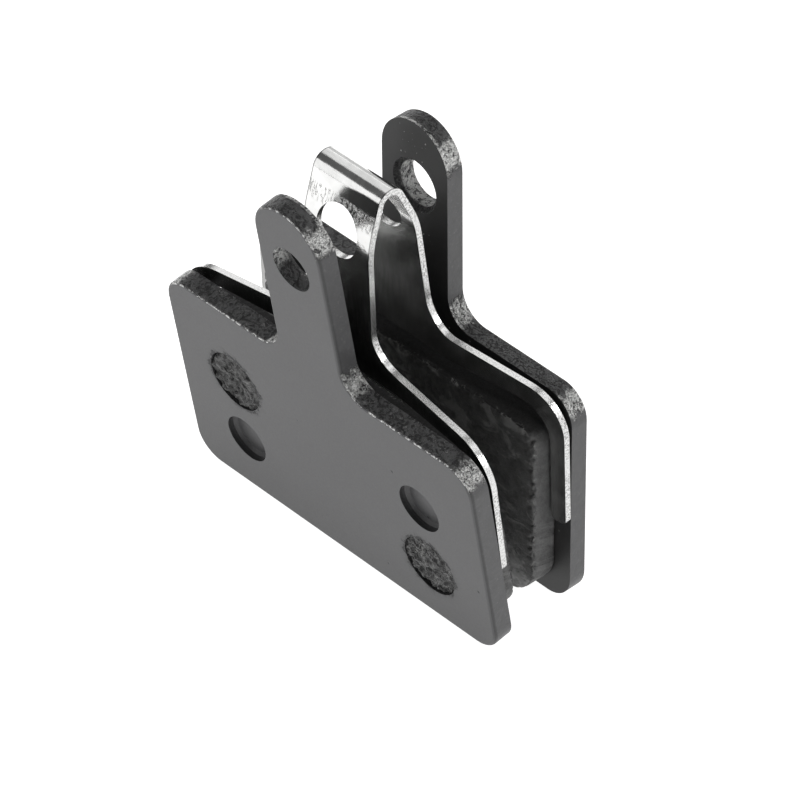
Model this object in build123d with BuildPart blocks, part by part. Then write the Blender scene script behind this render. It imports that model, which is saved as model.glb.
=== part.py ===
from build123d import *

import os
from math import cos, hypot, radians, sin, tan

# Bicycle disc brake pads: a pair of pads held apart by their return spring.
#
# Each pad is a stamped steel backing plate with a friction block moulded on its inner face.
# The same plate serves both sides, turned half way round. The return spring is one piece of
# spring steel sheet, folded over at the top, with a window in each arm for a friction block.
#
# Millimetres. X runs along the plates, Y from pad to pad, Z up. The pads stand on the lower
# edges of their plates, and the origin is on the ground, midway between them.

# How the pads stand on the spring
pad_lean = 4.6  # degrees that each pad leans outwards at the top
pad_gap = 5.1  # between the inner faces of the two plates, at their lower edges

# Backing plate, seen flat
plate_width = 29.5
body_height = 17.3
overall_height = 32.0
plate_thickness = 1.5
ear_width = 6.2
bottom_corner_radius = 2.1
shoulder_corner_radius = 2.2
ear_root_radius = 2.1
stamped_edge_radius = 0.25  # soft edge that the press leaves round the outer face

# Hole in the ear for the pin that retains the pads
pin_hole_diameter = 3.4
pin_hole_drop = 5.1  # from the top of the ear to the middle of the hole
pin_hole_lip = 0.35  # where the punch rolled the edge of the hole over, on the inner face

# Two keying holes that the friction compound fills, and two half-sheared dimples.
# They stand at the corners of a rectangle, each kind on one diagonal.
corner_inset = 5.75  # from the ends of the plate
lower_row_height = 4.9
row_spacing = 5.6
key_hole_diameter = 4.7
key_recess = 0.2  # how far the compound stays below the plate's outer face
dimple_diameter = 3.7
dimple_depth = 0.7
dimple_floor_bevel = 0.25

# Friction block
block_end_margin = 1.45  # from the block to each end of the plate
block_bottom_margin = 0.4
block_top_margin = 2.3  # from the block to the shoulders of the plate
block_thickness = 2.05
block_bottom_corner_radius = 2.8
block_top_corner_radius = 1.5
block_edge_break = 0.15

# Return spring: the sheet, and the profile of its outer faces seen along X
sheet_thickness = 0.45
spring_hole_diameter = 3.8
spring_hole_rise = 0.5  # above the pin holes
fold_rise = 3.85  # from the middle of the spring's holes to the top of the fold
fold_radius = 1.15  # outside of the fold
fold_leg_angle = 21.2  # degrees between the fold's legs and the upright
waist_bend_radius = 8.0
knee_rise = 2.25  # above the shoulders of the plates, as the rise of the arms
knee_clearance = 1.41  # to the inner face of the plate, at the height of the knee
knee_bend_radius = 20.0

# Return spring: its wings, which splay outwards to the plates, seen from above
splay_angle = 6.0  # degrees
splay_bend_offset = 1.9  # from the sides of the tab
splay_bend_radius = 10.0

# Return spring: its outline seen along Y
arm_shoulder_rise = 0.97  # where the arms' own shoulders meet the tab between the ears
arm_shoulder_slope = 3.6  # degrees that they fall away from the tab
arm_corner_radius = 3.2
arm_root_radius = 2.5
wing_tip_height = 7.3
wing_tip_radius = 0.35
window_side_clearance = 0.25  # from the ends of the friction block
window_head_clearance = 1.37  # above the top of the friction block
window_corner_radius = 2.6

# The plates rest on the soft edge of their outer faces
lean_sine = sin(radians(pad_lean))
lean_cosine = cos(radians(pad_lean))
flat_edge = plate_thickness - stamped_edge_radius
foot_height = flat_edge * lean_sine + stamped_edge_radius * (1 - lean_cosine)

pin_hole_height = overall_height - pin_hole_drop
corner_offset = plate_width / 2 - corner_inset
upper_row_height = lower_row_height + row_spacing
key_points = [(-corner_offset, upper_row_height), (corner_offset, lower_row_height)]
dimple_points = [(-corner_offset, lower_row_height), (corner_offset, upper_row_height)]
block_width = plate_width - 2 * block_end_margin
block_top = body_height - block_top_margin

# Inner face of each plate: x to the right and y up as seen from outside the pad, z outwards
pad_planes = {
    "outboard": Plane(
        origin=(0, -pad_gap / 2, foot_height), x_dir=(1, 0, 0), z_dir=(0, -lean_cosine, -lean_sine)
    ),
    "inboard": Plane(
        origin=(0, pad_gap / 2, foot_height), x_dir=(-1, 0, 0), z_dir=(0, lean_cosine, -lean_sine)
    ),
}


def inner_face_spread(height):
    """Half the distance between the inner faces of the two plates, at a height above the ground."""
    return pad_gap / 2 + (height - foot_height) * tan(radians(pad_lean))


pieces = []

for side, inner_face in pad_planes.items():
    outer_face = inner_face.offset(plate_thickness)

    # Backing plate: a body with a narrow ear standing on it
    with BuildPart() as plate:
        with BuildSketch(inner_face):
            with BuildLine():
                FilletPolyline(
                    (0, 0),
                    (plate_width / 2, 0),
                    (plate_width / 2, body_height),
                    (ear_width / 2, body_height),
                    (ear_width / 2, overall_height - ear_width / 2),
                    radius=[bottom_corner_radius, shoulder_corner_radius, ear_root_radius],
                )
                CenterArc((0, overall_height - ear_width / 2), ear_width / 2, 0, 90)
                mirror(about=Plane.YZ)
            make_face()
        extrude(amount=plate_thickness)
        outward = Axis(inner_face.origin, inner_face.z_dir)
        fillet(plate.faces().sort_by(outward)[-1].edges(), stamped_edge_radius)

        # Pin hole, with its lip on the inner face
        with BuildSketch(inner_face):
            with Locations((0, pin_hole_height)):
                Circle(pin_hole_diameter / 2)
        extrude(amount=plate_thickness, mode=Mode.SUBTRACT)
        rims = plate.edges(Select.LAST).filter_by(GeomType.CIRCLE).sort_by(outward)
        chamfer(rims[0], pin_hole_lip)

        # Keying holes, right through
        with BuildSketch(inner_face):
            with Locations(*key_points):
                Circle(key_hole_diameter / 2)
        extrude(amount=plate_thickness, mode=Mode.SUBTRACT)

        # Half-sheared dimples: each pushes a boss of its own depth out of the inner face
        with BuildSketch(inner_face):
            with Locations(*dimple_points):
                Circle(dimple_diameter / 2)
        extrude(amount=-dimple_depth)
        with BuildSketch(outer_face):
            with Locations(*dimple_points):
                Circle(dimple_diameter / 2)
        extrude(amount=-dimple_depth, mode=Mode.SUBTRACT)
        rims = plate.edges(Select.LAST).filter_by(GeomType.CIRCLE).group_by(outward)
        chamfer(rims[0], dimple_floor_bevel)

    # Friction block: moulded on the inner face, round the bosses and into the keying holes
    with BuildPart() as block:
        with BuildSketch(inner_face) as footprint:
            with Locations((0, block_bottom_margin)):
                Rectangle(block_width, block_top - block_bottom_margin, align=(Align.CENTER, Align.MIN))
            fillet(footprint.vertices().group_by(Axis.Y)[0], block_bottom_corner_radius)
            fillet(footprint.vertices().group_by(Axis.Y)[-1], block_top_corner_radius)
        extrude(amount=-block_thickness)
        chamfer(block.faces().sort_by(outward)[0].edges(), block_edge_break)
        with BuildSketch(inner_face):
            with Locations(*dimple_points):
                Circle(dimple_diameter / 2)
        extrude(amount=-dimple_depth, mode=Mode.SUBTRACT)
        with BuildSketch(inner_face):
            with Locations(*key_points):
                Circle(key_hole_diameter / 2)
        extrude(amount=plate_thickness - key_recess)

    plate.part.label = side + "_backing_plate"
    block.part.label = side + "_friction_block"
    pieces += [plate.part, block.part]

# Return spring: places of the bends in its profile
spring_hole_height = foot_height + pin_hole_height * lean_cosine + spring_hole_rise
fold_top_height = spring_hole_height + fold_rise
fold_corner_height = fold_top_height + fold_radius * (1 / sin(radians(fold_leg_angle)) - 1)
waist_half_spread = (fold_corner_height - spring_hole_height) * tan(radians(fold_leg_angle))

shoulder_height = foot_height + body_height * lean_cosine
knee_height = shoulder_height + knee_rise
knee_half_spread = inner_face_spread(knee_height) - knee_clearance

# Return spring: the wings touch the plates at their tips, and lean in less than the plates do
splay_bend = ear_width / 2 + splay_bend_offset
wing_reach = plate_width / 2 - splay_bend
wing_splay = wing_reach * tan(radians(splay_angle))
tip_half_spread = inner_face_spread(wing_tip_height) - wing_splay
arm_slope = (knee_half_spread - tip_half_spread) / (knee_height - wing_tip_height)
tab_slope = (knee_half_spread - waist_half_spread) / (knee_height - spring_hole_height)
arm_level = knee_height - 0.55 * knee_bend_radius * (arm_slope - tab_slope)  # just below the knee
arm_half_spread = knee_half_spread - arm_slope * (knee_height - arm_level)

tab_profile = [
    (tip_half_spread, wing_tip_height),
    (knee_half_spread, knee_height),
    (waist_half_spread, spring_hole_height),
]
tab_bends = [knee_bend_radius, waist_bend_radius]
outer_profile = [(-y, z) for y, z in tab_profile] + [(0, fold_corner_height)] + tab_profile[::-1]

# Return spring: its window and its shoulders
window_width = block_width + 2 * window_side_clearance
window_top = foot_height + block_top * lean_cosine + window_head_clearance
shoulder_length = (plate_width - ear_width) / 2
arm_root_height = shoulder_height + arm_shoulder_rise
arm_corner_height = arm_root_height - shoulder_length * tan(radians(arm_shoulder_slope))

# Return spring: the fold, the tab and the knees
with BuildPart() as spring:
    with BuildSketch(Plane.YZ):
        with BuildLine():
            FilletPolyline(*outer_profile, radius=tab_bends + [fold_radius] + tab_bends[::-1])
            offset(amount=sheet_thickness, side=Side.RIGHT)
        make_face()
    extrude(amount=splay_bend, both=True)
    split(bisect_by=Plane.XY.offset(arm_level), keep=Keep.TOP)

    # The arms, each bent twice so that its wings splay towards the plate
    for side, inwards in ((-1, Side.LEFT), (1, Side.RIGHT)):
        with BuildSketch(Plane.XY.offset(arm_level)):
            with BuildLine():
                FilletPolyline(
                    (-splay_bend - 2 * wing_reach, side * (arm_half_spread + 2 * wing_splay)),
                    (-splay_bend, side * arm_half_spread),
                    (splay_bend, side * arm_half_spread),
                    (splay_bend + 2 * wing_reach, side * (arm_half_spread + 2 * wing_splay)),
                    radius=splay_bend_radius,
                )
                offset(amount=sheet_thickness * hypot(1, arm_slope), side=inwards)
            make_face()
        extrude(amount=arm_level - wing_tip_height + sheet_thickness, dir=(0, -side * arm_slope, -1))

    # Its outline, with the windows and the pin holes
    with BuildSketch(Plane.XZ):
        with BuildLine():
            FilletPolyline(
                (0, window_top),
                (window_width / 2, window_top),
                (window_width / 2, wing_tip_height),
                (plate_width / 2, wing_tip_height),
                (plate_width / 2, arm_corner_height),
                (ear_width / 2, arm_root_height),
                (ear_width / 2, fold_corner_height),
                (0, fold_corner_height),
                radius=[
                    window_corner_radius,
                    wing_tip_radius,
                    wing_tip_radius,
                    arm_corner_radius,
                    arm_root_radius,
                    0,
                ],
            )
            mirror(about=Plane.YZ)
        make_face()
        with Locations((0, spring_hole_height)):
            Circle(spring_hole_diameter / 2, mode=Mode.SUBTRACT)
    extrude(amount=plate_width, both=True, mode=Mode.INTERSECT)
spring.part.label = "return_spring"
pieces.append(spring.part)

os.makedirs("parts", exist_ok=True)
for piece in pieces:
    export_step(piece, "parts/" + piece.label + ".step")
    print(piece.label, round(piece.volume, 2), "cubic mm")
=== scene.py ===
import math

import bmesh
import bpy
from bpy.props import FloatProperty, FloatVectorProperty, PointerProperty
from mathutils import Matrix, Vector, noise


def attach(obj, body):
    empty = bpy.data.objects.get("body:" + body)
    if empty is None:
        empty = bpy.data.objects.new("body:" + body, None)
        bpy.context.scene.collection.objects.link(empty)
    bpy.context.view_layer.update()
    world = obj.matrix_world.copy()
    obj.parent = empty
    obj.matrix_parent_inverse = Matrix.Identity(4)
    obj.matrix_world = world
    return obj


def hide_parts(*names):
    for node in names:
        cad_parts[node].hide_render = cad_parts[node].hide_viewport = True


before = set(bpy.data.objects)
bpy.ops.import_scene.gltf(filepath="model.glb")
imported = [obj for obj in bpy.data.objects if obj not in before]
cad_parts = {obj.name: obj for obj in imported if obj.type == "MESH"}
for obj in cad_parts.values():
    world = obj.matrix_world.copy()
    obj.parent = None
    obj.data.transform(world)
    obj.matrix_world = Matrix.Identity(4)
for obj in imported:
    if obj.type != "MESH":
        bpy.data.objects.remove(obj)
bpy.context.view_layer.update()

bl_info = {
    "name": "Bicycle disc brake pad",
    "version": (1, 0, 0),
    "blender": (4, 5, 0),
    "location": "3D View > Sidebar > Brake pad",
    "description": "Finishes the plates, friction blocks and return spring of a brake pad set",
    "category": "Object",
}

PLATES = ("outboard_backing_plate", "inboard_backing_plate")
BLOCKS = ("outboard_friction_block", "inboard_friction_block")
SPRING = "return_spring"

MM = 1000.0  # millimetres in a metre

# Places in the node editor
NODE_COLUMNS = 12
NODE_START = (-2600, 600)
NODE_STEP = (190, -260)
SHADER_PLACE = (0, 300)
OUTPUT_PLACE = (320, 300)

# Worn patches on a plate: across from its middle, height and reach, in millimetres
WORN_PATCHES = (
    (2.65, 30.5, 1.15),  # the ear's upper shoulders
    (3.85, 18.2, 1.05),  # the roots of the ear
    (14.2, 16.8, 1.15),  # the body's upper corners
)

# Friction blocks, in metres
MERGE_DISTANCE = 0.000001
BLOCK_CORNER = 0.0021  # radius of a block's corners
STUD_START = 0.0006  # depth in the plate where the compound in a keying hole begins to be lumpy
CHIP_REACH = 0.00026  # how quickly the chips fade away from an edge
PIT_DEPTH = 0.000012
WORN_END_LENGTH = 0.0014
WORN_END_START = 0.008  # height on the plate where the wear begins to deepen
WORN_END_FULL = 0.012  # height on the plate where it is deepest

# Stage
FLOOR_REACH = 2.0
FLOOR_ROUGHNESS = 0.9
UNBENT_NORMAL = (0.0, 0.0, 0.0)
SENSOR_WIDTH = 36.0
CLIP_START = 0.01
CLIP_END = 20.0

# Lights: name, place, width, height and radiance
SOFTBOXES = (
    ("back_left_softbox", (-0.30, 0.27, 0.38), 0.42, 0.34, 0.80),
    ("low_back_left_softbox", (-0.338, 0.472, 0.170), 0.40, 0.28, 0.55),
    ("front_left_softbox", (-0.338, -0.460, 0.225), 0.40, 0.41, 1.10),
    ("back_right_softbox", (0.480, 0.280, 0.190), 0.36, 0.32, 1.10),
    ("right_softbox", (0.40, 0.28, 0.33), 0.09, 0.09, 10.0),
    ("back_top_softbox", (0.16, 0.27, 0.50), 0.30, 0.16, 1.0),
    ("top_softbox", (0.02, 0.02, 0.60), 0.26, 0.26, 1.8),
)
LIGHT_AIM = (0.0, 0.0, 0.016)


# Sizes and colours

class PadSizes(bpy.types.PropertyGroup):
    """Sizes of the pads that the finishes and the friction blocks are laid out by."""

    lean: FloatProperty(
        name="Lean",
        description="How far each pad leans outwards at the top",
        default=math.radians(4.6),
        subtype="ANGLE",
    )
    gap: FloatProperty(
        name="Gap",
        description="Between the inner faces of the plates at their lower edges",
        default=0.0051,
        unit="LENGTH",
        precision=5,
    )
    foot_height: FloatProperty(
        name="Foot height",
        description="Height of the inner faces' lower edges above the floor",
        default=0.00010105,
        unit="LENGTH",
        precision=6,
    )
    plate_thickness: FloatProperty(
        name="Plate thickness",
        description="Thickness of the backing plates",
        default=0.0015,
        unit="LENGTH",
        precision=5,
    )
    block_width: FloatProperty(
        name="Block width",
        description="Length of a friction block along the plate",
        default=0.0266,
        unit="LENGTH",
        precision=5,
    )
    block_bottom: FloatProperty(
        name="Block bottom",
        description="From the plate's lower edge to the block",
        default=0.0004,
        unit="LENGTH",
        precision=5,
    )
    block_top: FloatProperty(
        name="Block top",
        description="From the plate's lower edge to the top of the block",
        default=0.0150,
        unit="LENGTH",
        precision=5,
    )
    block_thickness: FloatProperty(
        name="Block thickness",
        description="Thickness of the friction block in front of the plate",
        default=0.00205,
        unit="LENGTH",
        precision=5,
    )
    key_offset: FloatProperty(
        name="Keying hole offset",
        description="From the middle of the plate to the keying holes, along it",
        default=0.0090,
        unit="LENGTH",
        precision=5,
    )
    key_lower: FloatProperty(
        name="Lower keying hole",
        description="Height of the lower keying hole on the plate",
        default=0.0049,
        unit="LENGTH",
        precision=5,
    )
    key_upper: FloatProperty(
        name="Upper keying hole",
        description="Height of the upper keying hole on the plate",
        default=0.0105,
        unit="LENGTH",
        precision=5,
    )
    pin_height: FloatProperty(
        name="Pin hole",
        description="Height of the pin hole on the plate",
        default=0.0269,
        unit="LENGTH",
        precision=5,
    )
    fold_width: FloatProperty(
        name="Fold width",
        description="Length of the return spring's fold along the plates",
        default=0.0062,
        unit="LENGTH",
        precision=5,
    )
    fold_top: FloatProperty(
        name="Fold top",
        description="Height of the top of the return spring's fold",
        default=0.031264,
        unit="LENGTH",
        precision=5,
    )


class PlateCoating(bpy.types.PropertyGroup):
    """Colours of the coated, stamped plates."""

    face_colour: FloatVectorProperty(
        name="Face",
        description="Satin coating on the plates' outer faces",
        default=(0.086, 0.086, 0.088),
        subtype="COLOR",
        size=3,
        min=0.0,
        max=1.0,
    )
    inner_colour: FloatVectorProperty(
        name="Inner face",
        description="Darker and glossier coating between the pads",
        default=(0.022, 0.022, 0.022),
        subtype="COLOR",
        size=3,
        min=0.0,
        max=1.0,
    )
    torn_colour: FloatVectorProperty(
        name="Torn edge",
        description="Coating on the rough, torn walls that the press leaves",
        default=(0.090, 0.090, 0.091),
        subtype="COLOR",
        size=3,
        min=0.0,
        max=1.0,
    )
    bare_colour: FloatVectorProperty(
        name="Bare steel",
        description="Steel showing through where the coating is chipped",
        default=(0.62, 0.62, 0.61),
        subtype="COLOR",
        size=3,
        min=0.0,
        max=1.0,
    )


class FrictionCompound(bpy.types.PropertyGroup):
    """Colours and roughness of the moulded friction blocks."""

    base_colour: FloatVectorProperty(
        name="Compound",
        description="Body colour of the friction compound",
        default=(0.088, 0.088, 0.087),
        subtype="COLOR",
        size=3,
        min=0.0,
        max=1.0,
    )
    end_colour: FloatVectorProperty(
        name="Ends",
        description="Greyer compound on the ends of the blocks",
        default=(0.095, 0.095, 0.094),
        subtype="COLOR",
        size=3,
        min=0.0,
        max=1.0,
    )
    fleck_colour: FloatVectorProperty(
        name="Flecks",
        description="Metal and mineral flecks in the compound",
        default=(0.42, 0.42, 0.41),
        subtype="COLOR",
        size=3,
        min=0.0,
        max=1.0,
    )
    voxel: FloatProperty(
        name="Grain mesh",
        description="Size of the mesh that carries the chips and lumps",
        default=0.00012,
        unit="LENGTH",
        precision=6,
    )
    chip_depth: FloatProperty(
        name="Chip depth",
        description="How deep the edges of a block are chipped",
        default=0.00028,
        unit="LENGTH",
        precision=6,
    )
    end_wear: FloatProperty(
        name="End wear",
        description="How far one end of each block is rubbed back at its upper corner",
        default=0.00045,
        unit="LENGTH",
        precision=6,
    )
    stud_lumps: FloatProperty(
        name="Stud lumps",
        description="Height of the lumps where the compound fills the keying holes",
        default=0.00030,
        unit="LENGTH",
        precision=6,
    )


class SpringSteel(bpy.types.PropertyGroup):
    """Colours and gloss of the folded return spring."""

    sheet_colour: FloatVectorProperty(
        name="Sheet",
        description="Rolled surface of the spring steel",
        default=(0.80, 0.80, 0.79),
        subtype="COLOR",
        size=3,
        min=0.0,
        max=1.0,
    )
    edge_colour: FloatVectorProperty(
        name="Sheared edge",
        description="Edges that the press cut",
        default=(0.93, 0.93, 0.92),
        subtype="COLOR",
        size=3,
        min=0.0,
        max=1.0,
    )
    gloss: FloatProperty(
        name="Roughness",
        description="Roughness of the polished sheet",
        default=0.11,
        min=0.0,
        max=1.0,
        subtype="FACTOR",
    )


class StudioStage(bpy.types.PropertyGroup):
    """Floor, lights and camera."""

    floor_colour: FloatVectorProperty(
        name="Floor",
        description="Colour of the pale floor",
        default=(0.86, 0.86, 0.86),
        subtype="COLOR",
        size=3,
        min=0.0,
        max=1.0,
    )
    floor_glow: FloatProperty(
        name="Floor glow",
        description="Light that the floor gives off by itself, as a light table does",
        default=0.98,
        min=0.0,
    )
    surround: FloatProperty(
        name="Surround",
        description="Brightness of the dim room round the stage",
        default=0.12,
        min=0.0,
    )
    camera_place: FloatVectorProperty(
        name="Camera place",
        description="Where the camera stands",
        default=(0.21075, -0.17319, 0.26358),
        subtype="TRANSLATION",
        size=3,
    )
    camera_aim: FloatVectorProperty(
        name="Camera aim",
        description="Point in the middle of the picture",
        default=(0.00283816, -0.00053793, 0.01326581),
        subtype="TRANSLATION",
        size=3,
    )
    camera_roll: FloatProperty(
        name="Camera roll",
        description="How far the camera is turned about the line that it looks along",
        default=math.radians(-5.2727),
        subtype="ANGLE",
    )
    camera_lens: FloatProperty(
        name="Focal length",
        description="Focal length in millimetres, on a 36 mm sensor",
        default=251.76,
        min=1.0,
    )


# Building finishes

class FinishNodes:
    """Adds and joins the nodes of one finish; most methods hand back a node's output."""

    def __init__(self, name):
        self.material = bpy.data.materials.new(name)
        self.material.use_nodes = True
        self.tree = self.material.node_tree
        self.surface = self.tree.nodes["Principled BSDF"]
        self.count = 0

    def new_node(self, kind):
        """An unjoined node, placed in the next free place of the node editor."""
        node = self.tree.nodes.new(kind)
        row, column = divmod(self.count, NODE_COLUMNS)
        node.location = (
            NODE_START[0] + NODE_STEP[0] * column, NODE_START[1] + NODE_STEP[1] * row
        )
        self.count += 1
        return node

    def add(self, kind, inputs, output=0, **settings):
        node = self.new_node(kind)
        for name, value in settings.items():
            setattr(node, name, value)
        for key, value in inputs.items():
            self.join(value, node.inputs[key])
        return node.outputs[output]

    def join(self, value, socket):
        if isinstance(value, bpy.types.NodeSocket):
            self.tree.links.new(value, socket)
        else:
            socket.default_value = value

    def place(self):
        """Place on the object, in millimetres."""
        metres = self.add("ShaderNodeTexCoord", {}, "Object")
        return self.add("ShaderNodeVectorMath", {0: metres, "Scale": MM}, operation="SCALE")

    def normal(self):
        return self.add("ShaderNodeTexCoord", {}, "Normal")

    def split(self, vector):
        node = self.new_node("ShaderNodeSeparateXYZ")
        self.tree.links.new(vector, node.inputs[0])
        return node.outputs[0], node.outputs[1], node.outputs[2]

    def calc(self, operation, first, second=0.0):
        return self.add("ShaderNodeMath", {0: first, 1: second}, operation=operation)

    def times(self, *values):
        result = values[0]
        for value in values[1:]:
            result = self.calc("MULTIPLY", result, value)
        return result

    def most(self, *values):
        result = values[0]
        for value in values[1:]:
            result = self.calc("MAXIMUM", result, value)
        return result

    def total(self, *values):
        result = values[0]
        for value in values[1:]:
            result = self.calc("ADD", result, value)
        return result

    def less(self, value):
        """What the value leaves of one."""
        return self.calc("SUBTRACT", 1.0, value)

    def rise(self, value, start, end, low=0.0, high=1.0):
        """Goes smoothly from low to high while value goes from start to end."""
        return self.add(
            "ShaderNodeMapRange",
            {"Value": value, "From Min": start, "From Max": end, "To Min": low, "To Max": high},
            interpolation_type="SMOOTHSTEP",
        )

    def size_of(self, value):
        """The value without its sign."""
        return self.calc("ABSOLUTE", value)

    def stretch(self, vector, amounts):
        return self.add("ShaderNodeVectorMath", {0: vector, 1: amounts}, operation="MULTIPLY")

    def grain(self, vector, scale, detail=4.0, roughness=0.55, distortion=0.0):
        """Noise from 0 to 1, with scale in bumps per millimetre."""
        return self.add(
            "ShaderNodeTexNoise",
            {
                "Vector": vector,
                "Scale": scale,
                "Detail": detail,
                "Roughness": roughness,
                "Distortion": distortion,
            },
        )

    def cells(self, vector, scale, output="Distance"):
        return self.add("ShaderNodeTexVoronoi", {"Vector": vector, "Scale": scale}, output)

    def squiggles(self, vector, scale, width):
        """Thin wandering lines, where a noise passes its middle value."""
        wave = self.grain(vector, scale, 3.0, 0.6)
        return self.rise(self.size_of(self.calc("SUBTRACT", wave, 0.5)), width, 0.0)

    def mix(self, factor, first, second):
        node = self.new_node("ShaderNodeMix")
        node.data_type = "RGBA"
        self.join(factor, node.inputs[0])
        self.join(first, node.inputs[6])
        self.join(second, node.inputs[7])
        return node.outputs[2]

    def blend(self, factor, first, second):
        return self.add("ShaderNodeMix", {0: factor, 2: first, 3: second}, data_type="FLOAT")

    def shade(self, factor, colour, dark, light):
        """Colour made darker and lighter as factor goes from 0 to 1."""
        return self.mix(factor, scaled(colour, dark), scaled(colour, light))

    def bump(self, height, distance, before=None):
        inputs = {"Height": height, "Distance": distance, "Strength": 1.0}
        if before is not None:
            inputs["Normal"] = before
        return self.add("ShaderNodeBump", inputs)

    def finish(self, colour, roughness, normal, **constants):
        """Joins the surface shader and sets the values that are the same all over."""
        self.surface.location = SHADER_PLACE
        self.tree.nodes["Material Output"].location = OUTPUT_PLACE
        self.join(colour, self.surface.inputs["Base Color"])
        self.join(roughness, self.surface.inputs["Roughness"])
        self.join(normal, self.surface.inputs["Normal"])
        for name, value in constants.items():
            self.join(value, self.surface.inputs[name.replace("_", " ")])
        return self.material


def scaled(colour, amount):
    return tuple(min(1.0, channel * amount) for channel in colour) + (1.0,)


class PadMeasures:
    """Where a point of the pads lies, in millimetres, and which way its surface faces."""

    def __init__(self, nodes, sizes):
        lean_sine = math.sin(sizes.lean)
        lean_cosine = math.cos(sizes.lean)
        self.place = nodes.place()
        x, y, z = nodes.split(self.place)
        self.x, self.y, self.z = x, y, z
        out = nodes.calc("SUBTRACT", nodes.size_of(y), sizes.gap * MM / 2)
        up = nodes.calc("SUBTRACT", z, sizes.foot_height * MM)
        self.across = nodes.size_of(x)
        self.along = nodes.times(x, nodes.calc("SIGN", y), -1.0)
        self.height = nodes.total(nodes.times(out, lean_sine), nodes.times(up, lean_cosine))
        self.depth = nodes.total(nodes.times(out, lean_cosine), nodes.times(up, -lean_sine))
        self.side_x, side_y, self.side_z = nodes.split(nodes.normal())
        outward = nodes.times(side_y, nodes.calc("SIGN", y))
        self.facing = nodes.total(
            nodes.times(outward, lean_cosine), nodes.times(self.side_z, -lean_sine)
        )


def from_point(nodes, side, height, point_side, point_height):
    """Distance on the plate's face from a point, in millimetres."""
    aside = nodes.calc("SUBTRACT", side, point_side)
    above = nodes.calc("SUBTRACT", height, point_height)
    return nodes.calc("SQRT", nodes.total(nodes.times(aside, aside), nodes.times(above, above)))


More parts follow.
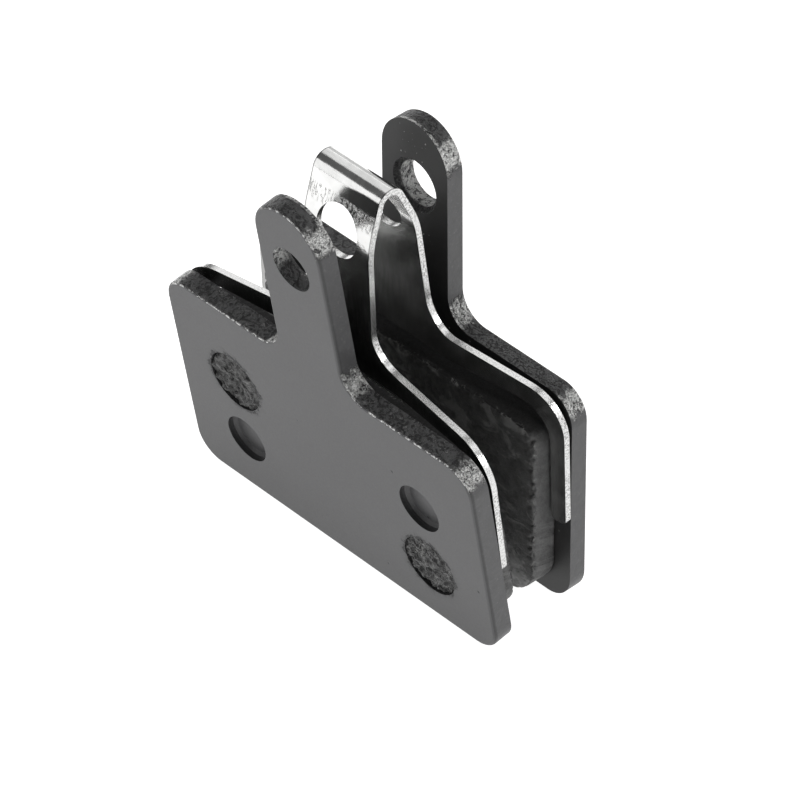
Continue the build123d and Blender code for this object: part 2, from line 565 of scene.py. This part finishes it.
def coated_plate_finish(sizes, coating):
    """Satin coating on stamped steel: smooth faces, crinkled walls and chips down to the steel."""
    nodes = FinishNodes("satin_coated_steel")
    pad = PadMeasures(nodes, sizes)
    place = pad.place
    thickness = sizes.plate_thickness * MM
    pin_height = sizes.pin_height * MM
    key_offset = sizes.key_offset * MM

    # Masks: walls, the inner face, walls that face up and the walls of the pin holes
    tilt = nodes.size_of(pad.facing)
    wall = nodes.rise(tilt, 0.90, 0.62)
    inner = nodes.rise(pad.facing, -0.6, -0.9)
    upward = nodes.rise(pad.side_z, 0.22, 0.70)
    pin_away = from_point(nodes, pad.along, pad.height, 0.0, pin_height)
    pin_wall = nodes.times(nodes.rise(pin_away, 2.25, 2.05), nodes.rise(tilt, 0.95, 0.80))
    above_body = nodes.rise(pad.height, 14.2, 14.8)
    rough_wall = nodes.most(nodes.times(wall, upward, above_body), pin_wall)

    # Coating: cloudy at a large scale and faintly grainy at a small one, with painted shade that
    # darkens it at the foot
    cloud = nodes.grain(place, 0.16, 3.0)
    fine = nodes.grain(place, 7.0, 3.0, 0.7)
    face = nodes.shade(cloud, coating.face_colour, 0.90, 1.10)
    face = nodes.mix(nodes.times(fine, 0.22), face, scaled(coating.face_colour, 0.75))
    # Painted shade: the face is darker towards its lower edge
    foot_shade = nodes.rise(pad.height, 7.0, 0.0, 0.0, 0.7)
    face = nodes.mix(foot_shade, face, scaled(coating.face_colour, 0.72))
    dark = nodes.shade(nodes.grain(place, 0.45, 4.0), coating.inner_colour, 0.75, 1.5)
    colour = nodes.mix(inner, face, dark)

    # A few pits on the faces, and dust between the pads
    pit_tint = nodes.split(nodes.cells(place, 0.42, output="Color"))[0]
    pits = nodes.times(
        nodes.rise(nodes.cells(place, 0.42), 0.06, 0.025),
        nodes.rise(pit_tint, 0.70, 0.72),
        nodes.less(wall),
    )
    outer_pits = nodes.times(pits, nodes.less(inner))
    colour = nodes.mix(outer_pits, colour, scaled(coating.face_colour, 0.3))
    dust = nodes.times(
        nodes.rise(nodes.grain(place, 3.4, 2.0, 0.5), 0.685, 0.72),
        nodes.rise(nodes.grain(place, 0.55, 2.0), 0.50, 0.58),
        inner,
    )
    colour = nodes.mix(nodes.times(dust, 0.8), colour, scaled(coating.bare_colour, 0.7))

    # Walls: faint specks, and painted shade in a dark line along the soft edge
    wall_colour = nodes.shade(nodes.grain(place, 1.3, 5.0, 0.65), coating.face_colour, 0.68, 1.08)
    specks = nodes.rise(nodes.grain(place, 4.6, 3.0, 0.6), 0.62, 0.68, 0.0, 0.35)
    wall_colour = nodes.mix(specks, wall_colour, scaled(coating.face_colour, 2.0))
    # Painted shade along the soft edge between the face and the walls
    soft_edge_shade = nodes.times(
        nodes.rise(pad.depth, thickness - 0.34, thickness - 0.16), nodes.rise(tilt, 0.97, 0.80)
    )
    wall_colour = nodes.mix(nodes.times(soft_edge_shade, 0.6), wall_colour, scaled(coating.face_colour, 0.35))

    # Walls that face up, and the walls of the pin holes: crinkled all over, with painted light and
    # shade on the crinkles and painted glints
    worms = nodes.grain(place, 2.1, 2.5, 0.55, 1.8)
    torn = nodes.grain(place, 5.0, 3.0, 0.6, 1.0)
    relief = nodes.blend(0.30, worms, torn)
    # Painted light and shade on the crinkles: the torn coating is made lighter and darker as the
    # relief rises and falls
    torn_colour = nodes.shade(nodes.rise(relief, 0.41, 0.59), coating.torn_colour, 0.40, 1.55)

    # Pin holes: gritty walls, further down on the inboard plate, and a dark rolled lip
    beside_pin = nodes.calc("SUBTRACT", pad.height, pin_height + 0.1)
    low_end = nodes.rise(pad.y, -1.0, 1.0, -0.7, -1.9)
    gritty = nodes.times(
        pin_wall,
        nodes.rise(beside_pin, 1.2, 0.5),
        nodes.rise(nodes.calc("SUBTRACT", beside_pin, low_end), -0.4, 0.2),
        nodes.rise(pad.depth, 0.30, 0.50),
        nodes.rise(nodes.grain(place, 3.2, 4.0, 0.7), 0.43, 0.53),
    )
    torn_colour = nodes.mix(nodes.times(gritty, 0.9), torn_colour, scaled(coating.bare_colour, 1.1))
    lip = nodes.times(pin_wall, nodes.rise(pad.depth, 0.42, 0.26))
    torn_colour = nodes.mix(nodes.times(lip, 0.75), torn_colour, scaled(coating.inner_colour, 0.8))
    # Painted glints: bright lines along the crinkles
    painted_glints = nodes.times(
        nodes.rise(nodes.size_of(nodes.calc("SUBTRACT", worms, 0.5)), 0.018, 0.0),
        nodes.rise(nodes.grain(place, 0.9, 3.0), 0.46, 0.60, 0.15, 1.0),
    )
    torn_colour = nodes.mix(nodes.times(painted_glints, 0.6), torn_colour, scaled(coating.bare_colour, 0.8))
    wall_colour = nodes.mix(rough_wall, wall_colour, torn_colour)
    colour = nodes.mix(nodes.most(wall, pin_wall), colour, wall_colour)

    # Compound smeared over the rims of the keying holes
    ragged = nodes.calc("SUBTRACT", nodes.grain(place, 1.5, 5.0, 0.72), 0.5)
    key_high = from_point(nodes, pad.along, pad.height, -key_offset, sizes.key_upper * MM)
    key_low = from_point(nodes, pad.along, pad.height, key_offset, sizes.key_lower * MM)
    key_away = nodes.total(nodes.calc("MINIMUM", key_high, key_low), nodes.times(ragged, 1.9))
    smear = nodes.times(nodes.rise(key_away, 2.55, 2.35), nodes.less(inner))
    halo = nodes.times(nodes.rise(key_away, 2.95, 2.45), nodes.less(inner), 0.35)
    colour = nodes.mix(nodes.most(smear, halo), colour, scaled(coating.face_colour, 0.38))

    # Worn patches with ragged outlines
    patches = []
    for patch_across, patch_height, reach in WORN_PATCHES:
        away = from_point(nodes, pad.across, pad.height, patch_across, patch_height)
        away = nodes.total(away, nodes.times(ragged, 2.4))
        patches.append(nodes.rise(away, reach, reach * 0.55))
    patches = nodes.times(nodes.most(*patches), wall)
    worn = nodes.times(patches, nodes.rise(relief, 0.38, 0.50, 0.25, 1.0))

    # Chips down to the steel, in broken lines along the edges of the walls that face up
    broken = nodes.rise(nodes.grain(place, 2.6, 4.0, 0.75), 0.49, 0.54)
    outer_rim = nodes.times(
        nodes.rise(pad.facing, 0.62, 0.74),
        nodes.rise(pad.facing, 0.97, 0.92),
        nodes.rise(pad.depth, thickness - 0.30, thickness - 0.24),
    )
    inner_rim = nodes.times(
        nodes.rise(pad.depth, 0.24, 0.16), wall, nodes.rise(pad.height, 26.0, 27.0)
    )
    rims = nodes.times(
        nodes.most(outer_rim, inner_rim), nodes.rise(pad.side_z, 0.10, 0.30), broken
    )
    bare = nodes.most(worn, rims)
    bare_colour = nodes.shade(nodes.rise(torn, 0.35, 0.65), coating.bare_colour, 0.55, 1.55)
    colour = nodes.mix(bare, colour, bare_colour)
    # Painted shade in the creases round the worn patches
    crease_shade = nodes.times(patches, nodes.rise(relief, 0.44, 0.38))
    colour = nodes.mix(nodes.times(crease_shade, 0.7), colour, scaled(coating.torn_colour, 0.3))

    roughness = nodes.rise(fine, 0.2, 0.8, 0.40, 0.50)
    roughness = nodes.blend(inner, roughness, 0.48)
    roughness = nodes.blend(rough_wall, roughness, 0.36)
    roughness = nodes.blend(smear, roughness, 0.62)
    roughness = nodes.blend(bare, roughness, 0.32)

    crumpled = nodes.most(rough_wall, patches)
    peel = nodes.bump(fine, 0.000003)
    pitted = nodes.bump(nodes.times(pits, -1.0), 0.00004, peel)
    smeared = nodes.bump(nodes.times(smear, relief), 0.00008, pitted)
    uneven = nodes.bump(nodes.times(nodes.grain(place, 1.3, 4.0, 0.6), wall), 0.00004, smeared)
    crinkled = nodes.bump(nodes.times(relief, crumpled), 0.00060, uneven)
    return nodes.finish(
        colour, roughness, crinkled, Metallic=nodes.times(bare, 0.7), Specular_IOR_Level=0.38
    )


def friction_compound_finish(sizes, compound):
    """Moulded compound: dark and fine-grained, smeared where it was rubbed, ridged at the ends."""
    nodes = FinishNodes("moulded_friction_compound")
    pad = PadMeasures(nodes, sizes)
    place = pad.place
    rubbed = nodes.rise(pad.facing, -0.6, -0.9)
    ends = nodes.rise(nodes.size_of(pad.side_x), 0.5, 0.85)
    studs = nodes.rise(pad.depth, 0.55, 0.75)

    # Body: lumpy and gritty, greyer at the ends, and darkest on top with painted shade
    lumps = nodes.grain(place, 1.3, 5.0, 0.65)
    grit = nodes.grain(place, 6.5, 4.0, 0.7)
    colour = nodes.shade(nodes.rise(lumps, 0.3, 0.7), compound.base_colour, 0.65, 1.25)
    end_colour = nodes.shade(nodes.rise(lumps, 0.3, 0.7), compound.end_colour, 0.7, 1.15)
    colour = nodes.mix(ends, colour, end_colour)
    light_grit = nodes.rise(grit, 0.60, 0.72, 0.0, 0.45)
    colour = nodes.mix(light_grit, colour, scaled(compound.base_colour, 3.0))
    dark_grit = nodes.rise(grit, 0.40, 0.30, 0.0, 0.6)
    colour = nodes.mix(dark_grit, colour, scaled(compound.base_colour, 0.3))
    # Painted shade on the top faces of the blocks
    above = nodes.rise(pad.side_z, 0.55, 0.85, 0.0, 0.85)
    colour = nodes.mix(above, colour, scaled(compound.base_colour, 0.12))

    # Smears and thin scratches on the rubbed face
    smears = nodes.grain(nodes.stretch(place, (0.55, 1.0, 0.9)), 0.75, 5.0, 0.62, 0.8)
    smeared = nodes.times(rubbed, nodes.rise(smears, 0.51, 0.63))
    colour = nodes.mix(nodes.times(smeared, 0.7), colour, scaled(compound.base_colour, 3.0))
    scratch = nodes.times(
        nodes.squiggles(nodes.stretch(place, (1.0, 1.0, 0.35)), 1.1, 0.012),
        nodes.rise(nodes.grain(place, 0.5), 0.52, 0.60),
        rubbed,
    )
    colour = nodes.mix(nodes.times(scratch, 0.45), colour, scaled(compound.fleck_colour, 0.5))

    # Slanting ridges on the ends, where the blocks left their mould
    run = nodes.total(nodes.times(pad.y, 0.925), nodes.times(pad.z, -0.38))
    rank = nodes.total(nodes.times(pad.y, 0.38), nodes.times(pad.z, 0.925))
    ridge_place = nodes.add(
        "ShaderNodeCombineXYZ",
        {"X": nodes.times(run, 0.5), "Y": nodes.times(rank, 2.6), "Z": pad.x},
    )
    ridges = nodes.rise(nodes.grain(ridge_place, 0.62, 1.5, 0.5), 0.42, 0.60)
    ridged = nodes.times(ends, nodes.rise(pad.z, 8.0, 5.5))
    colour = nodes.mix(nodes.times(ridges, ridged, 0.5), colour, scaled(compound.end_colour, 1.6))

    # Crumbled edges: light specks between notches darkened with painted shade
    from_face = nodes.total(pad.depth, sizes.block_thickness * MM)
    from_end = nodes.calc("SUBTRACT", sizes.block_width * MM / 2, pad.across)
    from_top = nodes.calc("SUBTRACT", sizes.block_top * MM, pad.height)
    from_side = nodes.calc("MINIMUM", from_end, from_top)
    edge = nodes.times(nodes.rise(from_face, 0.42, 0.12), nodes.rise(from_side, 0.42, 0.12))
    crumbs = nodes.grain(place, 2.6, 5.0, 0.7)
    upper = nodes.rise(pad.height, 11.5, 13.5, 0.25, 0.8)
    light_specks = nodes.times(edge, nodes.rise(crumbs, 0.56, 0.64), upper)
    colour = nodes.mix(light_specks, colour, scaled(compound.fleck_colour, 0.8))
    # Painted shade in the chipped notches along the ends of the blocks
    notch_shade = nodes.times(edge, nodes.rise(from_end, 0.6, 0.3), nodes.rise(crumbs, 0.50, 0.42))
    colour = nodes.mix(nodes.times(notch_shade, 0.8), colour, scaled(compound.base_colour, 0.1))

    # Studs in the keying holes: coarse lumps, with light streaks of painted highlight that are also
    # made partly metallic, most of them on the lower one
    clumps = nodes.grain(place, 1.5, 4.0, 0.65, 1.2)
    stud_colour = nodes.shade(nodes.rise(clumps, 0.40, 0.62), compound.base_colour, 0.25, 1.5)
    streaks = nodes.times(
        nodes.squiggles(place, 1.5, 0.035),
        nodes.rise(nodes.grain(place, 0.8), 0.47, 0.56),
        nodes.rise(pad.height, 9.5, 6.5, 0.35, 1.0),
    )
    # Painted highlights along the streaks
    streak_highlights = nodes.times(streaks, 0.75)
    stud_colour = nodes.mix(streak_highlights, stud_colour, scaled(compound.fleck_colour, 0.8))
    colour = nodes.mix(studs, colour, stud_colour)

    roughness = nodes.rise(grit, 0.3, 0.7, 0.52, 0.80)
    roughness = nodes.blend(rubbed, roughness, 0.46)
    roughness = nodes.blend(studs, roughness, 0.42)
    coarse = nodes.bump(nodes.times(lumps, nodes.less(studs)), 0.00010)
    gritty = nodes.bump(nodes.times(grit, nodes.rise(rubbed, 0.0, 1.0, 1.0, 0.3)), 0.00005, coarse)
    ground = nodes.bump(nodes.times(ridges, ridged), 0.00005, gritty)
    clumped = nodes.bump(nodes.times(clumps, studs), 0.00075, ground)
    metal = nodes.times(streaks, studs, 0.4)
    return nodes.finish(colour, roughness, clumped, Metallic=metal, Specular_IOR_Level=0.5)


def spring_steel_finish(sizes, steel):
    """Bright rolled sheet with fine scratches and smudges, and bright sheared edges."""
    nodes = FinishNodes("bright_spring_steel")
    place = nodes.place()
    x, y, z = nodes.split(place)
    side_x, side_y = nodes.split(nodes.normal())[:2]
    fold_top = sizes.fold_top * MM
    tab_end = sizes.fold_width * MM / 2

    # Masks: the sheared edges, the sheet, and the sides of the arms that face each other
    fold = nodes.times(
        nodes.rise(z, fold_top - 1.2, fold_top - 0.9), nodes.rise(nodes.size_of(side_x), 0.5, 0.3)
    )
    sheared = nodes.times(nodes.rise(nodes.size_of(side_y), 0.12, 0.05), nodes.less(fold))
    sheet = nodes.less(sheared)
    inwards = nodes.rise(nodes.times(side_y, nodes.calc("SIGN", y)), 0.1, -0.1)

    # Sheet: smudged all over, with fine lines along the fold
    streaks = nodes.grain(nodes.stretch(place, (0.9, 9.0, 9.0)), 1.0, 4.0, 0.65)
    upright = nodes.grain(nodes.stretch(place, (6.0, 1.0, 0.7)), 1.0, 4.0, 0.6)
    smudge = nodes.grain(place, 0.45, 4.0, 0.6, 0.8)
    lower = nodes.rise(z, 25.0, 22.5)
    colour = nodes.shade(nodes.rise(smudge, 0.35, 0.70), steel.sheet_colour, 0.86, 1.04)
    lined = nodes.times(nodes.rise(streaks, 0.56, 0.74, 0.0, 0.35), nodes.less(lower))
    colour = nodes.mix(lined, colour, scaled(steel.sheet_colour, 0.55))

    # A row of short upright tool marks below the fold: dents, with painted dark reflection in their
    # colour
    tools = nodes.grain(nodes.stretch(place, (8.0, 0.8, 1.9)), 1.0, 4.0, 0.75)
    below_fold = nodes.calc("SUBTRACT", fold_top, z)
    row = nodes.times(nodes.rise(below_fold, 1.4, 1.7), nodes.rise(below_fold, 2.9, 2.2))
    tool_marks_and_reflection = nodes.times(nodes.rise(tools, 0.52, 0.60), row)
    # Painted dark reflection in the tool marks, which are also dented by the bump below
    colour = nodes.mix(nodes.times(tool_marks_and_reflection, 0.55), colour, scaled(steel.sheet_colour, 0.28))

    # Sheared edges: bright and mottled, with painted shade that makes them greyer and more darkly
    # mottled where they stand upright
    mottle = nodes.grain(place, 5.5, 3.0, 0.7)
    worn = nodes.rise(nodes.grain(place, 0.30, 2.0), 0.42, 0.56, 0.35, 1.0)
    # Painted shade: the sheared edges are greyer where they face sideways, and more darkly mottled
    # where they stand upright
    upright_edge_shade = nodes.rise(nodes.size_of(side_x), 0.55, 0.95, 0.25, 1.0)
    edge = nodes.mix(
        nodes.rise(nodes.size_of(side_x), 0.70, 0.97),
        steel.edge_colour[:] + (1.0,),
        scaled(steel.edge_colour, 0.66),
    )
    edge = nodes.mix(
        nodes.times(nodes.rise(mottle, 0.56, 0.40), worn, upright_edge_shade),
        edge,
        scaled(steel.edge_colour, 0.34),
    )
    colour = nodes.mix(sheared, colour, edge)

    # A dark line of painted shade along each side of the tab, and a sheet that grows duller further
    # down: cloudy streaks, with painted shade on the faces that turn inwards and at the foot
    # Painted shade in a dark line along each side of the tab
    tab_edge_shade = nodes.times(
        sheet,
        nodes.rise(nodes.size_of(x), tab_end - 0.13, tab_end - 0.06),
        nodes.rise(z, 22.0, 24.0),
    )
    colour = nodes.mix(nodes.times(tab_edge_shade, 0.75), colour, scaled(steel.sheet_colour, 0.22))
    cloudy = nodes.times(sheet, lower, nodes.rise(upright, 0.40, 0.62, 0.0, 0.5))
    colour = nodes.mix(cloudy, colour, scaled(steel.sheet_colour, 0.5))
    # Painted shade on the lower faces of the arms that turn inwards, between the pads
    inner_arm_shade = nodes.times(sheet, lower, inwards, 0.6)
    colour = nodes.mix(inner_arm_shade, colour, scaled(steel.sheet_colour, 0.45))
    # Painted shade: the sheet is darker towards its foot
    foot_shade = nodes.times(sheet, nodes.rise(z, 19.5, 17.0, 0.0, 0.55))
    colour = nodes.mix(foot_shade, colour, scaled(steel.sheet_colour, 0.25))

    roughness = nodes.rise(smudge, 0.35, 0.75, steel.gloss, steel.gloss + 0.08)
    roughness = nodes.blend(lower, roughness, 0.24)
    roughness = nodes.blend(sheared, roughness, 0.25)
    scratched = nodes.bump(nodes.times(streaks, sheet, nodes.less(lower)), 0.000004)
    marked = nodes.bump(nodes.times(tool_marks_and_reflection, sheet), 0.000012, scratched)
    dented = nodes.bump(nodes.times(smudge, sheet), 0.000012, marked)
    torn = nodes.bump(nodes.times(mottle, sheared), 0.000012, dented)
    film = nodes.times(sheet, lower, inwards, nodes.rise(smudge, 0.35, 0.62, 0.15, 1.0))
    return nodes.finish(colour, roughness, torn, Metallic=nodes.less(nodes.times(film, 0.14)))


# Pieces

def dress(node_name, material):
    """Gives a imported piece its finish, and leaves its mesh alone."""
    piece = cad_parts[node_name]
    if not piece.material_slots:
        raise RuntimeError(node_name + " has no material slot")
    for slot in piece.material_slots:
        slot.material = material


def block_measures(point, sizes):
    """Across the plate, up the plate and out from its inner face, in metres."""
    out = abs(point.y) - sizes.gap / 2
    up = point.z - sizes.foot_height
    lean_sine = math.sin(sizes.lean)
    lean_cosine = math.cos(sizes.lean)
    return point.x, out * lean_sine + up * lean_cosine, out * lean_cosine - up * lean_sine


def inside_outline(across, height, sizes):
    """Distance from the sides of the friction block, measured inwards."""
    middle = (sizes.block_top + sizes.block_bottom) / 2
    half_height = (sizes.block_top - sizes.block_bottom) / 2
    aside = abs(across) - sizes.block_width / 2 + BLOCK_CORNER
    above = abs(height - middle) - half_height + BLOCK_CORNER
    from_corner = math.hypot(max(aside, 0.0), max(above, 0.0))
    return BLOCK_CORNER - from_corner - min(max(aside, above), 0.0)


def fine_copy(node_name, voxel):
    """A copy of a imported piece, remeshed finely enough to carry grain."""
    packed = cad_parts[node_name]
    mesh = bpy.data.meshes.new(node_name + "_moulded")
    shape = bmesh.new()
    shape.from_mesh(packed.data)
    bmesh.ops.remove_doubles(shape, verts=shape.verts, dist=MERGE_DISTANCE)
    bmesh.ops.recalc_face_normals(shape, faces=shape.faces)
    shape.to_mesh(mesh)
    shape.free()
    piece = bpy.data.objects.new(node_name + "_moulded", mesh)
    bpy.context.scene.collection.objects.link(piece)
    remesh = piece.modifiers.new("grain", "REMESH")
    remesh.mode = "VOXEL"
    remesh.voxel_size = voxel
    remesh.adaptivity = 0.0
    depsgraph = bpy.context.evaluated_depsgraph_get()
    fine_mesh = bpy.data.meshes.new_from_object(piece.evaluated_get(depsgraph))
    piece.modifiers.clear()
    piece.data = fine_mesh
    bpy.data.meshes.remove(mesh)
    return piece


def held(value):
    """Value kept between 0 and 1."""
    return min(max(value, 0.0), 1.0)


def stud_move(point, depth, spot, sizes, compound):
    """Lumps on the compound in a keying hole, which never stand proud of the plate."""
    lump = noise.fractal(spot * 1.3, 0.9, 2.1, 4) + 0.4 * noise.noise(spot * 3.4)
    side = math.copysign(1, point.y)
    outward = Vector((0, math.cos(sizes.lean) * side, -math.sin(sizes.lean)))
    lift = (lump * 0.9 + 0.15) * compound.stud_lumps * held((depth - STUD_START) / STUD_START)
    return outward * min(lift, sizes.plate_thickness - depth)


def body_move(point, normal, measures, spot, sizes, compound):
    """Chips along the edges of a block, fine pitting and one worn end."""
    across, height, depth = measures
    from_face = depth + sizes.block_thickness
    from_side = inside_outline(across, height, sizes)
    near = math.exp(-(max(from_face, 0) + max(from_side, 0)) / CHIP_REACH)
    bite = held(noise.fractal(spot * 1.7, 0.8, 2.1, 5) * 2.2 + 0.15)
    pitting = noise.fractal(spot * 3.2, 0.6, 2.1, 3) * PIT_DEPTH
    move = -normal * (near * bite * compound.chip_depth + pitting)
    into_end = -math.copysign(across, across * point.y) - sizes.block_width / 2 + WORN_END_LENGTH
    if into_end > 0:
        upper = held((height - WORN_END_START) / (WORN_END_FULL - WORN_END_START))
        worn = compound.end_wear * (0.35 + 0.65 * upper)
        move.x -= math.copysign(worn * into_end / WORN_END_LENGTH, across)
    return move


def roughened_block(node_name, sizes, compound, seed):
    """A friction block with chipped edges, and lumps where it fills the keying holes."""
    piece = fine_copy(node_name, compound.voxel)
    offset = Vector((seed * 17.3, seed * 5.1, seed * 9.7))
    shape = bmesh.new()
    shape.from_mesh(piece.data)
    shape.normal_update()
    moves = []
    for vertex in shape.verts:
        point = vertex.co
        measures = block_measures(point, sizes)
        spot = point * MM + offset
        if measures[2] > STUD_START:
            moves.append(stud_move(point, measures[2], spot, sizes, compound))
        else:
            moves.append(body_move(point, vertex.normal, measures, spot, sizes, compound))
    for vertex, move in zip(shape.verts, moves):
        vertex.co += move
    shape.to_mesh(piece.data)
    shape.free()
    piece.data.shade_smooth()
    return piece


# Operators

class BRAKEPAD_OT_coat_plates(bpy.types.Operator):
    """Give the two backing plates their coating, torn walls and chips"""

    bl_idname = "brake_pad.coat_plates"
    bl_label = "Coat the backing plates"

    def execute(self, context):
        finish = coated_plate_finish(context.scene.pad_sizes, context.scene.plate_coating)
        for name in PLATES:
            dress(name, finish)
        return {"FINISHED"}


class BRAKEPAD_OT_mould_blocks(bpy.types.Operator):
    """Build the two friction blocks with chipped edges and filled keying holes"""

    bl_idname = "brake_pad.mould_blocks"
    bl_label = "Mould the friction blocks"

    def execute(self, context):
        sizes = context.scene.pad_sizes
        compound = context.scene.friction_compound
        finish = friction_compound_finish(sizes, compound)
        for seed, name in enumerate(BLOCKS, start=1):
            piece = roughened_block(name, sizes, compound, seed)
            piece.data.materials.clear()
            piece.data.materials.append(finish)
            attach(piece, "root")
            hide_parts(name)
        return {"FINISHED"}


class BRAKEPAD_OT_polish_spring(bpy.types.Operator):
    """Give the return spring its rolled, scratched sheet and sheared edges"""

    bl_idname = "brake_pad.polish_spring"
    bl_label = "Polish the return spring"

    def execute(self, context):
        finish = spring_steel_finish(context.scene.pad_sizes, context.scene.spring_steel)
        dress(SPRING, finish)
        return {"FINISHED"}


def softbox(name, place, width, height, radiance):
    """A rectangular light that faces the object, with its brightness given as radiance."""
    light = bpy.data.lights.new(name, "AREA")
    light.shape = "RECTANGLE"
    light.size = width
    light.size_y = height
    light.energy = radiance * math.pi * width * height
    lamp = bpy.data.objects.new(name, light)
    bpy.context.scene.collection.objects.link(lamp)
    lamp.location = place
    lamp.rotation_euler = (Vector(LIGHT_AIM) - Vector(place)).to_track_quat("-Z", "Y").to_euler()


class BRAKEPAD_OT_set_stage(bpy.types.Operator):
    """Set up the pale floor, the soft lights and the camera"""

    bl_idname = "brake_pad.set_stage"
    bl_label = "Set the stage"

    def execute(self, context):
        scene = context.scene
        stage = scene.studio_stage

        shape = bmesh.new()
        bmesh.ops.create_grid(shape, x_segments=1, y_segments=1, size=FLOOR_REACH)
        mesh = bpy.data.meshes.new("studio_floor")
        shape.to_mesh(mesh)
        shape.free()
        floor = bpy.data.objects.new("studio_floor", mesh)
        scene.collection.objects.link(floor)
        nodes = FinishNodes("pale_floor")
        speckle = nodes.grain(nodes.place(), 0.05, 3.0)
        nodes.finish(
            nodes.shade(speckle, stage.floor_colour, 0.99, 1.01),
            FLOOR_ROUGHNESS,
            UNBENT_NORMAL,
            Emission_Color=stage.floor_colour[:] + (1.0,),
            Emission_Strength=stage.floor_glow / stage.floor_colour[0],
        )
        mesh.materials.append(nodes.material)

        world = bpy.data.worlds.new("dim_room")
        world.use_nodes = True
        room = world.node_tree.nodes["Background"]
        room.inputs["Color"].default_value = (1.0, 1.0, 1.0, 1.0)
        room.inputs["Strength"].default_value = stage.surround
        scene.world = world

        for settings in SOFTBOXES:
            softbox(*settings)

        lens = bpy.data.cameras.new("photo_camera")
        lens.sensor_width = SENSOR_WIDTH
        lens.lens = stage.camera_lens
        lens.clip_start = CLIP_START
        lens.clip_end = CLIP_END
        camera = bpy.data.objects.new("photo_camera", lens)
        scene.collection.objects.link(camera)
        place = Vector(stage.camera_place)
        turn = (Vector(stage.camera_aim) - place).to_track_quat("-Z", "Y")
        roll = Matrix.Rotation(stage.camera_roll, 3, "Z")
        camera.location = place
        camera.rotation_euler = (turn.to_matrix() @ roll).to_euler()
        scene.camera = camera
        scene.view_settings.view_transform = "Standard"
        return {"FINISHED"}


class BRAKEPAD_PT_panel(bpy.types.Panel):
    """Lists the steps that finish the brake pad set"""

    bl_idname = "BRAKEPAD_PT_panel"
    bl_label = "Brake pad"
    bl_space_type = "VIEW_3D"
    bl_region_type = "UI"
    bl_category = "Brake pad"

    def draw(self, context):
        for operator, group in STEPS:
            box = self.layout.box()
            box.operator(operator.bl_idname)
            settings = getattr(context.scene, group)
            for name in settings.__annotations__:
                box.prop(settings, name)


GROUPS = (
    ("pad_sizes", PadSizes),
    ("plate_coating", PlateCoating),
    ("friction_compound", FrictionCompound),
    ("spring_steel", SpringSteel),
    ("studio_stage", StudioStage),
)
STEPS = (
    (BRAKEPAD_OT_coat_plates, "plate_coating"),
    (BRAKEPAD_OT_mould_blocks, "friction_compound"),
    (BRAKEPAD_OT_polish_spring, "spring_steel"),
    (BRAKEPAD_OT_set_stage, "studio_stage"),
)


def register():
    for name, group in GROUPS:
        bpy.utils.register_class(group)
        setattr(bpy.types.Scene, name, PointerProperty(type=group))
    for operator, _ in STEPS:
        bpy.utils.register_class(operator)
    bpy.utils.register_class(BRAKEPAD_PT_panel)


def unregister():
    bpy.utils.unregister_class(BRAKEPAD_PT_panel)
    for operator, _ in reversed(STEPS):
        bpy.utils.unregister_class(operator)
    for name, group in reversed(GROUPS):
        delattr(bpy.types.Scene, name)
        bpy.utils.unregister_class(group)


def main():
    register()
    bpy.ops.brake_pad.coat_plates()
    bpy.ops.brake_pad.mould_blocks()
    bpy.ops.brake_pad.polish_spring()
    bpy.ops.brake_pad.set_stage()


if __name__ == "__main__":
    main()
